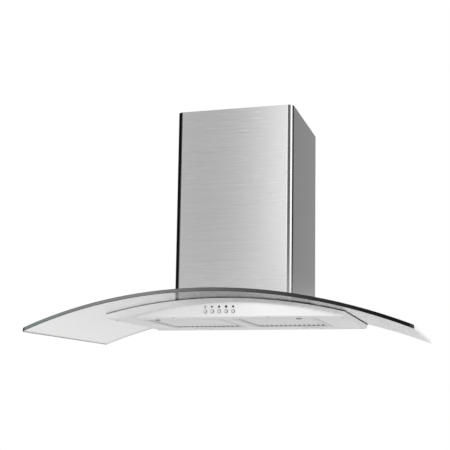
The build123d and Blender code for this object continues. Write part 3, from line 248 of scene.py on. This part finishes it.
def satin_metal(name, colour, roughness, metallic, grain=(60, 60, 700), contrast=0.02):
    """Finely ground metal with a faint grain and a slow cloudiness from handling."""
    shader = Shader(name, colour, roughness, metallic)
    fine = shader.noise(grain, detail=4)
    cloud = shader.noise(CLOUD_WAVES, detail=2)
    grained = shader.mottled(fine, colour, contrast)
    clouded = tinted(colour, 1 - CLOUD_CONTRAST * contrast)
    shader.colour(shader.blend(shader.spread(cloud, 0, CLOUD_SHARE), grained, clouded))
    smoother, rougher = METAL_ROUGHNESS_SPAN
    shader.rough(shader.spread(cloud, roughness * smoother, roughness * rougher))
    shader.bump(fine, SATIN_DEPTH)
    return shader.material


ZINC_ROUGHNESS = 0.45
ZINC_METALLIC = 0.9
ZINC_FLAKES = 90                         # a metre
FLAKE_TONES = (0.86, 1.12)               # in shares of the zinc's colour
FLAKE_ROUGHNESS = (0.35, 0.6)
ZINC_GRAIN = (500, 500, 500)
ZINC_DEPTH = 0.00002


def galvanised(name, colour):
    """Zinc-coated sheet with the mottled flakes of the coating."""
    shader = Shader(name, colour, ZINC_ROUGHNESS, ZINC_METALLIC)
    place = shader.node("ShaderNodeTexCoord")
    flakes = shader.node("ShaderNodeTexVoronoi")
    flakes.inputs["Scale"].default_value = ZINC_FLAKES
    shader.link(place.outputs["Object"], flakes.inputs["Vector"])
    shade = shader.node("ShaderNodeSeparateColor")
    shader.link(flakes.outputs["Color"], shade.inputs["Color"])
    dark, light = FLAKE_TONES
    shader.colour(shader.blend(shade.outputs["Red"], tinted(colour, dark), tinted(colour, light)))
    shader.rough(shader.spread(shade.outputs["Green"], *FLAKE_ROUGHNESS, 0, 1))
    shader.bump(shader.noise(ZINC_GRAIN), ZINC_DEPTH)
    return shader.material


# ---------------------------------------------------------------- plastics and rubber

MOULD_GRAIN = 900                        # waves a metre along every axis
MOULD_DEPTH = 0.00004
MOULD_FLOW = (18, 18, 30)
MOULD_FLOW_DISTORTION = 0.6
PIT_SHARE = 0.3                          # of the darker tone in the deepest texture
PIT_CONTRAST = 2
MOULD_ROUGHNESS_SPAN = (0.85, 1.15)      # in shares of the roughness


def moulded(name, colour, roughness, contrast=0.05, shine=0.5):
    """Plastic, rubber or ink with a fine texture and slight flow marks."""
    shader = Shader(name, colour, roughness)
    fine = shader.noise((MOULD_GRAIN, MOULD_GRAIN, MOULD_GRAIN), detail=3)
    flow = shader.noise(MOULD_FLOW, detail=3, distortion=MOULD_FLOW_DISTORTION)
    shaded = shader.mottled(flow, colour, contrast)
    pitted = tinted(colour, 1 - PIT_CONTRAST * contrast)
    shader.colour(shader.blend(shader.spread(fine, 0, PIT_SHARE), shaded, pitted))
    smoother, rougher = MOULD_ROUGHNESS_SPAN
    shader.rough(shader.spread(fine, roughness * smoother, roughness * rougher))
    shader.bump(fine, MOULD_DEPTH)
    shader.set(Specular_IOR_Level=shine)
    return shader.material


# ---------------------------------------------------------------- glass

GLASS_TINT = (0.97, 0.97, 0.965)
GLASS_IOR = 1.4
GLASS_ROUGHNESS = 0.02
GLASS_SMEARS = (9, 9, 9)
SMEAR_ROUGHNESS = (0.005, 0.05)
# tones of the reflection painted along the glass's front edge
EDGE_GREEN = (0.195, 0.235, 0.22)
EDGE_GREY = (0.225, 0.225, 0.222)
EDGE_DARK = (0.006, 0.008, 0.007)
EDGE_REFLECTION_GREENING = (-0.42, -0.26)           # where along X the painted reflection on the edge turns from green to grey
EDGE_REFLECTION_FADE = (-0.14, 0.42)                # and from grey to dark
EDGE_ROUGHNESS = 0.12
EDGE_CLOUD = (25, 25, 25)
EDGE_CLOUD_ROUGHNESS = (0.2, 0.3)
EDGE_SHINE = 0.05
EDGE_GREY_TONES = (0.94, 1.06)           # in shares of the grey
EDGE_DARK_TONES = (0.7, 1.3)             # and of the dark


def visor_glass():
    """Clear toughened glass, a little grey, with faint smears in its gloss."""
    shader = Shader("visor_glass", GLASS_TINT, GLASS_ROUGHNESS)
    shader.set(IOR=GLASS_IOR, Transmission_Weight=1.0)
    shader.rough(shader.spread(shader.noise(GLASS_SMEARS, detail=3), *SMEAR_ROUGHNESS))
    return shader.material


def visor_edge(name, shade):
    """The polished edge of the glass, with a painted reflection: grey-green at its left end, darker towards
    the right.
    """
    shader = Shader(name, EDGE_DARK, EDGE_ROUGHNESS)
    across = shader.parts("Object")
    fade = shader.spread(across["X"], 1, 0, *EDGE_REFLECTION_FADE)
    green = shader.spread(across["X"], 1, 0, *EDGE_REFLECTION_GREENING)
    cloud = shader.noise(EDGE_CLOUD, detail=3)
    greys = [tinted(EDGE_GREY, tone * shade) for tone in EDGE_GREY_TONES]
    darks = [tinted(EDGE_DARK, tone * shade) for tone in EDGE_DARK_TONES]
    grey = shader.blend(shader.spread(cloud, 0, 1), *greys)
    pale = shader.blend(green, grey, tinted(EDGE_GREEN, shade))
    dark = shader.blend(shader.spread(cloud, 0, 1), *darks)
    shader.colour(shader.blend(shader.times(fade, fade), dark, pale))
    shader.rough(shader.spread(cloud, *EDGE_CLOUD_ROUGHNESS))
    shader.set(Specular_IOR_Level=EDGE_SHINE)
    return shader.material


# ---------------------------------------------------------------- finishes of the CAD's pieces

STEEL = (0.62, 0.62, 0.62)
WHITE_STEEL = (0.90, 0.90, 0.90)
PALE_STEEL = (0.90, 0.88, 0.89)
ZINC = (0.60, 0.61, 0.62)

# brushed: name, colour, roughness, contrast; satin: name, colour, roughness, metallic, grain,
# contrast; moulded: name, colour, roughness
FINISHES = {
    "chimney_steel": brushed_steel("brushed_chimney", STEEL, 0.15, 0.065),
    "upper_chimney_steel": brushed_steel("brushed_upper_chimney", STEEL, 0.17, 0.06),
    "canopy_steel": satin_metal("satin_canopy", WHITE_STEEL, 0.11, 0.8),
    "panel_steel": satin_metal("satin_panel", PALE_STEEL, 0.28, 0.8, (11, 620, 43)),
    "clear_glass": visor_glass(),
    "seal_rubber": moulded("black_rubber", (0.008, 0.008, 0.008), 0.8, shine=0.1),
    "chimney_seal_rubber": moulded("pale_trim", (0.72, 0.72, 0.72), 0.45),
    "polished_steel": satin_metal("polished_steel", (0.72, 0.72, 0.73), 0.16, 1.0, (200, 200, 200)),
    "zinc_screws": satin_metal("zinc_plate", (0.80, 0.79, 0.80), 0.35, 0.85, (300, 300, 300), 0.04),
    "galvanised_sheet": galvanised("galvanised_sheet", ZINC),
    "filter_frame_aluminium": satin_metal("filter_frame", (0.83, 0.82, 0.83), 0.3, 0.9, (500, 40, 40)),
    "filter_mesh_aluminium": satin_metal("filter_mesh", (0.80, 0.79, 0.80), 0.5, 0.4, (600, 600, 600), 0.05),
    "latch_plastic": moulded("latch_grey", (0.42, 0.41, 0.41), 0.45),
    "button_white": moulded("button_white", (0.95, 0.95, 0.94), 0.3, contrast=0.01),
    # painted shade: the rings are coloured nearly black for the shadow in the gaps round the buttons
    "ring_metal": satin_metal("ring_painted_shadow", (0.03, 0.03, 0.032), 0.35, 0.5, (400, 400, 400)),
    "switch_plastic": moulded("switch_black", (0.05, 0.05, 0.055), 0.5),
    "lamp_metal": satin_metal("lamp_metal", (0.68, 0.68, 0.69), 0.22, 1.0, (250, 250, 250)),
    "lens_plastic": moulded("frosted_lens", (0.85, 0.85, 0.83), 0.35, contrast=0.02),
    "driver_plastic": moulded("driver_white", (0.70, 0.70, 0.68), 0.5),
    "scroll_plastic": moulded("scroll_grey", (0.13, 0.13, 0.135), 0.5),
    "impeller_plastic": moulded("impeller_black", (0.04, 0.04, 0.042), 0.45),
    "shaft_steel": satin_metal("shaft_steel", (0.56, 0.56, 0.57), 0.2, 1.0, (900, 900, 900)),
    "motor_metal": satin_metal("motor_can", (0.50, 0.50, 0.51), 0.35, 1.0, (60, 400, 400), 0.05),
    "bracket_steel": satin_metal("bracket_steel", (0.55, 0.56, 0.57), 0.4, 1.0, (250, 250, 250), 0.06),
    "bush_rubber": moulded("bush_rubber", (0.03, 0.03, 0.03), 0.7),
    "collar_plastic": moulded("collar_grey", (0.16, 0.16, 0.165), 0.5),
    "flap_plastic": moulded("flap_grey", (0.22, 0.22, 0.225), 0.45),
    "terminal_plastic": moulded("terminal_grey", (0.55, 0.55, 0.54), 0.5),
    "gland_plastic": moulded("gland_black", (0.04, 0.04, 0.04), 0.5),
    "capacitor_aluminium": satin_metal("capacitor_can", (0.62, 0.62, 0.63), 0.3, 1.0, (90, 90, 600), 0.04),
    "glide_plastic": moulded("glide_white", (0.78, 0.78, 0.76), 0.4, contrast=0.03),
}

# how far a face's normal points along an axis, to be counted as facing that way
TOP_FACING = 0.9
SIDE_FACING = 0.5                        # the canopy's sides lean inwards
EDGE_FACING = 0.9
EDGE_BREAK_FACING = 0.35
CORNER_FACING = 0.15                     # more than the bowed front edge turns aside at its ends

# painted shade of the narrow gaps round the filters
FILTER_GAP_SHADE = (0.16, 0.15, 0.15)
EDGE_BREAK_SHADE = 0.45                  # painted shade: the broken edges are darker than the edge between them
# painted reflection: the rounded ends of the glass's front edge are coloured dark
GLASS_CORNER_PAINTED_DARK = (0.012, 0.014, 0.013)
# painted light: the side and back edges of the glass are coloured pale
GLASS_SIDE_PAINTED_PALE = (0.96, 0.97, 0.96)


def finish_nodes():
    """Give each CAD node the finish of the slot that its record names."""
    for node in nodes.values():
        slot = node.material_slots[0].material.name.split(".")[0]
        node.material_slots[0].material = FINISHES[slot]


def shade_canopy_faces():
    """Give the canopy's covered top and its sides shaded copies of its steel, painted darker than its
    polished front.
    """
    canopy = nodes["canopy_shell"]
    # painted shade: the top and the sides take the darker steel, the front the white
    canopy.data.materials.append(satin_metal("satin_canopy_top_shaded", STEEL, 0.4, 0.6))
    canopy.data.materials.append(satin_metal("satin_canopy_side_shaded", STEEL, 0.15, 0.9))
    top, side = 1, 2
    for face in canopy.data.polygons:
        if face.normal.z > TOP_FACING:
            face.material_index = top
        elif abs(face.normal.x) > SIDE_FACING:
            face.material_index = side


def shade_filter_gaps():
    """Paint shade on the filters' outer walls, which stand in the narrow gaps round them."""
    for name in ("filter_frame_left", "filter_frame_right"):
        filter_frame = nodes[name]
        filter_frame.data.materials.append(satin_metal(name + "_painted_gap_shade", FILTER_GAP_SHADE, 0.6, 0.5))
        low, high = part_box(name)
        for face in filter_frame.data.polygons:
            outward = face.center - (low + high) / 2
            beside = abs(face.normal.x) > EDGE_FACING and face.normal.x * outward.x > 0
            ahead = abs(face.normal.y) > EDGE_FACING and face.normal.y * outward.y > 0
            if beside or ahead:
                face.material_index = 1


def paint_glass_edge_light():
    """Paint the narrow faces round the visor with the light and shade that a glass edge shows, each by where
    it faces.
    """
    visor = nodes["curved_glass"]
    looks = {
        "front": visor_edge("visor_edge", 1.0),
        "break": visor_edge("visor_edge_break", EDGE_BREAK_SHADE),
        "corner": moulded("visor_corner_painted_dark", GLASS_CORNER_PAINTED_DARK, 0.2),
        "side": moulded("visor_side_edge_painted_pale", GLASS_SIDE_PAINTED_PALE, 0.5, contrast=0.01),
    }
    for look in looks.values():
        visor.data.materials.append(look)
    place = {name: index + 1 for index, name in enumerate(looks)}
    for face in visor.data.polygons:
        ahead, aside, up = -face.normal.y, abs(face.normal.x), abs(face.normal.z)
        if up > TOP_FACING:
            continue
        if ahead > EDGE_BREAK_FACING and aside > CORNER_FACING:
            face.material_index = place["corner"]
        elif ahead > EDGE_FACING:
            face.material_index = place["front"]
        elif ahead > EDGE_BREAK_FACING:
            face.material_index = place["break"]
        else:
            face.material_index = place["side"]


# ---------------------------------------------------------------- printed symbols

SYMBOL_RISE = 10.8 * MM                  # above the middle of its button
SYMBOL_SIZE = 3.1 * MM                   # half width
SYMBOL_THICKNESS = 0.15 * MM
SYMBOL_INK = (0.012, 0.012, 0.013)
ROUND = 20                               # points of a circle
CANOPY_BOW = 12.5 * MM                   # how far the canopy's front bulges


def polygon(count, size, turn=0.0):
    """Points of a regular figure round the middle, the first at the turn's angle from X."""
    angles = [turn + 2 * math.pi * i / count for i in range(count)]
    return [(size * math.cos(angle), size * math.sin(angle)) for angle in angles]


def ring(size, bore):
    """A flat ring as quads, each a list of four points."""
    outer, inner = polygon(ROUND, size), polygon(ROUND, bore)
    return [
        [outer[i], outer[(i + 1) % ROUND], inner[(i + 1) % ROUND], inner[i]]
        for i in range(ROUND)
    ]


# figures in half widths of a symbol, X to the right and Z up
LAMP_CAP = [(-0.35, -1.2), (0.35, -1.2), (0.35, -0.9), (-0.35, -0.9)]
STOP_TRIANGLE = [(-0.75, -1.0), (1.0, 0.0), (-0.75, 1.0)]

SYMBOLS = [
    ("lamp_symbol", "light_button", [*ring(0.8, 0.45), LAMP_CAP]),
    ("stop_symbol", "stop_button", [STOP_TRIANGLE]),
    ("low_symbol", "low_speed_button", [polygon(ROUND, 0.85)]),
    ("middle_symbol", "middle_speed_button", [polygon(ROUND, 0.95)]),
    ("high_symbol", "high_speed_button", [polygon(4, 1.05, math.pi / 2)]),
]


def canopy_face(x):
    """Y of the canopy's bowed front at x."""
    low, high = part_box("canopy_shell")
    radius = (high.x ** 2 + CANOPY_BOW ** 2) / (2 * CANOPY_BOW)
    return low.y + radius - math.sqrt(radius ** 2 - x ** 2)


def raise_figure(mesh, points):
    """Raise one figure, given by its points in X and Z, from the canopy's front."""
    back = [mesh.verts.new((x, canopy_face(x), z)) for x, z in points]
    front = [mesh.verts.new((x, canopy_face(x) - SYMBOL_THICKNESS, z)) for x, z in points]
    mesh.faces.new(front)
    mesh.faces.new(back[::-1])
    for i, vertex in enumerate(back):
        after = (i + 1) % len(back)
        mesh.faces.new((vertex, back[after], front[after], front[i]))


def make_symbols():
    """Print one small symbol on the canopy's front above each button."""
    ink = moulded("symbol_ink", SYMBOL_INK, 0.6)
    for name, button, figures in SYMBOLS:
        low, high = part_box(button)
        middle = (low + high) / 2
        mesh = bmesh.new()
        for figure in figures:
            raise_figure(mesh, [
                (middle.x + x * SYMBOL_SIZE, middle.z + SYMBOL_RISE + z * SYMBOL_SIZE)
                for x, z in figure
            ])
        bmesh.ops.recalc_face_normals(mesh, faces=mesh.faces)
        data = bpy.data.meshes.new(name)
        mesh.to_mesh(data)
        mesh.free()
        symbol = bpy.data.objects.new(name, data)
        bpy.context.scene.collection.objects.link(symbol)
        data.materials.append(ink)
        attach(symbol, "hood")


# ---------------------------------------------------------------- floor

FLOOR_DROP = 2.7                         # below the lowest edge of the glass
FLOOR_SIZE = 12.0
FLOOR_MIDDLE = -1.7                      # along Y
FLOOR_GREY = (0.85, 0.85, 0.85)
FLOOR_ROUGHNESS = 0.9
FLOOR_GLOW = 1.03
FLOOR_GLOW_SHARE = 0.88                  # of what the camera sees of the floor


def make_floor():
    """A pale floor under the hood, which the camera sees nearly as white as the backdrop."""
    low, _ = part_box("curved_glass")
    bpy.ops.mesh.primitive_plane_add(size=FLOOR_SIZE, location=(0, FLOOR_MIDDLE, low.z - FLOOR_DROP))
    floor = bpy.context.object
    floor.name = "floor"
    shader = Shader("pale_floor", FLOOR_GREY, FLOOR_ROUGHNESS)
    path = shader.node("ShaderNodeLightPath")
    glow = shader.node("ShaderNodeEmission")
    glow.inputs["Strength"].default_value = FLOOR_GLOW
    seen = shader.node("ShaderNodeMath", operation="MULTIPLY")
    seen.inputs[1].default_value = FLOOR_GLOW_SHARE
    mix = shader.node("ShaderNodeMixShader")
    shader.link(path.outputs["Is Camera Ray"], seen.inputs[0])
    shader.link(seen.outputs["Value"], mix.inputs["Fac"])
    shader.link(shader.surface.outputs["BSDF"], mix.inputs[1])
    shader.link(glow.outputs["Emission"], mix.inputs[2])
    shader.link(mix.outputs["Shader"], shader.tree.nodes["Material Output"].inputs["Surface"])
    floor.data.materials.append(shader.material)


# ---------------------------------------------------------------- world

WHITE = (1, 1, 1, 1)
ROOM_PEAK = 2.0                          # the brightness that a ring's full white stands for
SKY_STRENGTH = 0.9

# The brightness that gloss finds round the hood: azimuth from the front towards the right, in
# degrees, in six rings that follow each other from the ground up.
GROUND_RING = [
    (-180, 0.80), (-172, 0.5), (-160, 0.3), (-140, 0.3), (-120, 0.6), (-60, 0.75), (-38, 0.5),
    (-14, 0.45), (-4, 0.7), (60, 0.8), (180, 0.80),
]
LOW_RING = [
    (-180, 0.9), (-171, 0.87), (-157, 1.05), (-140, 1.05), (-90, 0.5), (-26, 0.45), (-20, 0.1),
    (-10, 0.07), (-3, 0.55), (30, 0.7), (90, 0.6), (150, 0.75), (180, 0.85),
]
EYE_RING = [
    (-180, 0.82), (-165, 0.6), (-60, 0.5), (-30, 0.6), (-12, 0.65), (-6, 0.08), (12, 0.08), (17, 0.8),
    (90, 0.7), (150, 0.6), (180, 0.82),
]
LEVEL_RING = [
    (-180, 0.80), (-165, 0.5), (-110, 0.4), (-50, 0.5), (-34, 0.72), (-28, 0.78), (-16, 1.0), (0, 0.95),
    (40, 0.95), (90, 0.8), (150, 0.5), (168, 0.5), (180, 0.80),
]
HIGH_RING = [
    (-180, 0.75), (-165, 0.3), (-120, 0.2), (-40, 0.2), (-32, 0.1), (-29, 1.05), (-24, 0.98), (-20, 0.68),
    (-17, 0.58), (-15, 0.78), (-13, 1.35), (-11, 1.6), (3, 1.5), (8, 0.15), (54, 0.08), (61, 1.75),
    (92, 1.75), (101, 0.0), (136, 0.0), (144, 0.28), (163, 0.2), (169.5, 0.36), (180, 0.75),
]
TOP_RING = [
    (-180, 0.75), (-150, 0.4), (-60, 0.3), (-34, 0.4), (-28, 0.8), (-20, 0.7), (-10, 0.95), (20, 1.0),
    (60, 1.0), (120, 0.6), (165, 0.3), (180, 0.75),
]
UPPER_RINGS = [LOW_RING, EYE_RING, LEVEL_RING, HIGH_RING, TOP_RING]
# where each of these takes over from the ring below it, as sines of the direction's rise
RING_STEPS = [(-0.20, -0.16), (-0.052, -0.044), (-0.014, -0.004), (0.108, 0.12), (0.36, 0.42)]


def make_world():
    """White behind the hood, with a studio of soft panels that only its gloss reflects."""
    world = bpy.data.worlds.new("studio")
    bpy.context.scene.world = world
    world.use_nodes = True
    tree = world.node_tree
    tree.nodes.clear()
    link = tree.links.new

    def combine(operation, first, second):
        """Work out one value from two, each a number or an output."""
        made = tree.nodes.new("ShaderNodeMath")
        made.operation = operation
        for socket, value in zip(made.inputs, (first, second)):
            if isinstance(value, (int, float)):
                socket.default_value = value
            else:
                link(value, socket)
        return made.outputs["Value"]

    place = tree.nodes.new("ShaderNodeTexCoord")
    split = tree.nodes.new("ShaderNodeSeparateXYZ")
    link(place.outputs["Generated"], split.inputs["Vector"])
    frontwards = combine("MULTIPLY", split.outputs["Y"], -1.0)
    azimuth = combine("ARCTAN2", split.outputs["X"], frontwards)
    position = combine("ADD", combine("DIVIDE", azimuth, 2 * math.pi), 0.5)

    def panels(brightnesses):
        """A ring of soft panels as grey over azimuth."""
        greys = tree.nodes.new("ShaderNodeValToRGB")
        ramp = greys.color_ramp.elements
        while len(ramp) < len(brightnesses):
            ramp.new(0.5)
        for element, (angle, brightness) in zip(ramp, brightnesses):
            element.position = (angle + 180) / 360
            shade = brightness / ROOM_PEAK
            element.color = (shade, shade, shade, 1)
        link(position, greys.inputs["Fac"])
        return greys.outputs["Color"]

    def over(limits, below, above):
        """Pass from one ring to the next as the direction rises through the limits."""
        rise = tree.nodes.new("ShaderNodeMapRange")
        rise.inputs["From Min"].default_value, rise.inputs["From Max"].default_value = limits
        link(split.outputs["Z"], rise.inputs["Value"])
        mix = tree.nodes.new("ShaderNodeMix")
        mix.data_type = "RGBA"
        link(rise.outputs["Result"], mix.inputs["Factor"])
        for colour, socket in zip((below, above), colour_sockets(mix.inputs)):
            link(colour, socket)
        return colour_sockets(mix.outputs)[0]

    def background(strength):
        """An even white backdrop of so much strength."""
        made = tree.nodes.new("ShaderNodeBackground")
        made.inputs["Color"].default_value = WHITE
        made.inputs["Strength"].default_value = strength
        return made

    def choose(factor, first, second):
        """Show the first shader where the factor is 0 and the second where it is 1."""
        made = tree.nodes.new("ShaderNodeMixShader")
        link(factor, made.inputs["Fac"])
        link(first, made.inputs[1])
        link(second, made.inputs[2])
        return made.outputs["Shader"]

    studio = panels(GROUND_RING)
    for limits, brightnesses in zip(RING_STEPS, UPPER_RINGS):
        studio = over(limits, studio, panels(brightnesses))

    path = tree.nodes.new("ShaderNodeLightPath").outputs
    backdrop = background(1.0)
    sky = background(SKY_STRENGTH)
    room = background(ROOM_PEAK)
    link(studio, room.inputs["Color"])
    lit = choose(path["Is Glossy Ray"], sky.outputs["Background"], room.outputs["Background"])
    through = combine("MAXIMUM", path["Is Camera Ray"], path["Is Transmission Ray"])
    seen = choose(through, lit, backdrop.outputs["Background"])
    output = tree.nodes.new("ShaderNodeOutputWorld")
    link(seen, output.inputs["Surface"])


# ---------------------------------------------------------------- lamp

LAMP_PLACE = (1.6, -2.4, 1.2)
LAMP_AIM = (0, -0.3, -0.1)
LAMP_SIZE = 1.6
LAMP_POWER = 25


def make_lamp():
    """A square soft lamp in front and to the right, which the camera doesn't see."""
    data = bpy.data.lights.new("front_lamp", "AREA")
    data.size = LAMP_SIZE
    data.energy = LAMP_POWER
    lamp = bpy.data.objects.new("front_lamp", data)
    lamp.location = LAMP_PLACE
    lamp.rotation_euler = (Vector(LAMP_AIM) - Vector(LAMP_PLACE)).to_track_quat("-Z", "Y").to_euler()
    lamp.visible_camera = False
    lamp.visible_glossy = False
    lamp.visible_transmission = False
    bpy.context.scene.collection.objects.link(lamp)


finish_nodes()
shade_canopy_faces()
shade_filter_gaps()
paint_glass_edge_light()
make_symbols()
make_camera()
make_floor()
make_world()
make_lamp()

bpy.context.scene.view_settings.view_transform = "Standard"
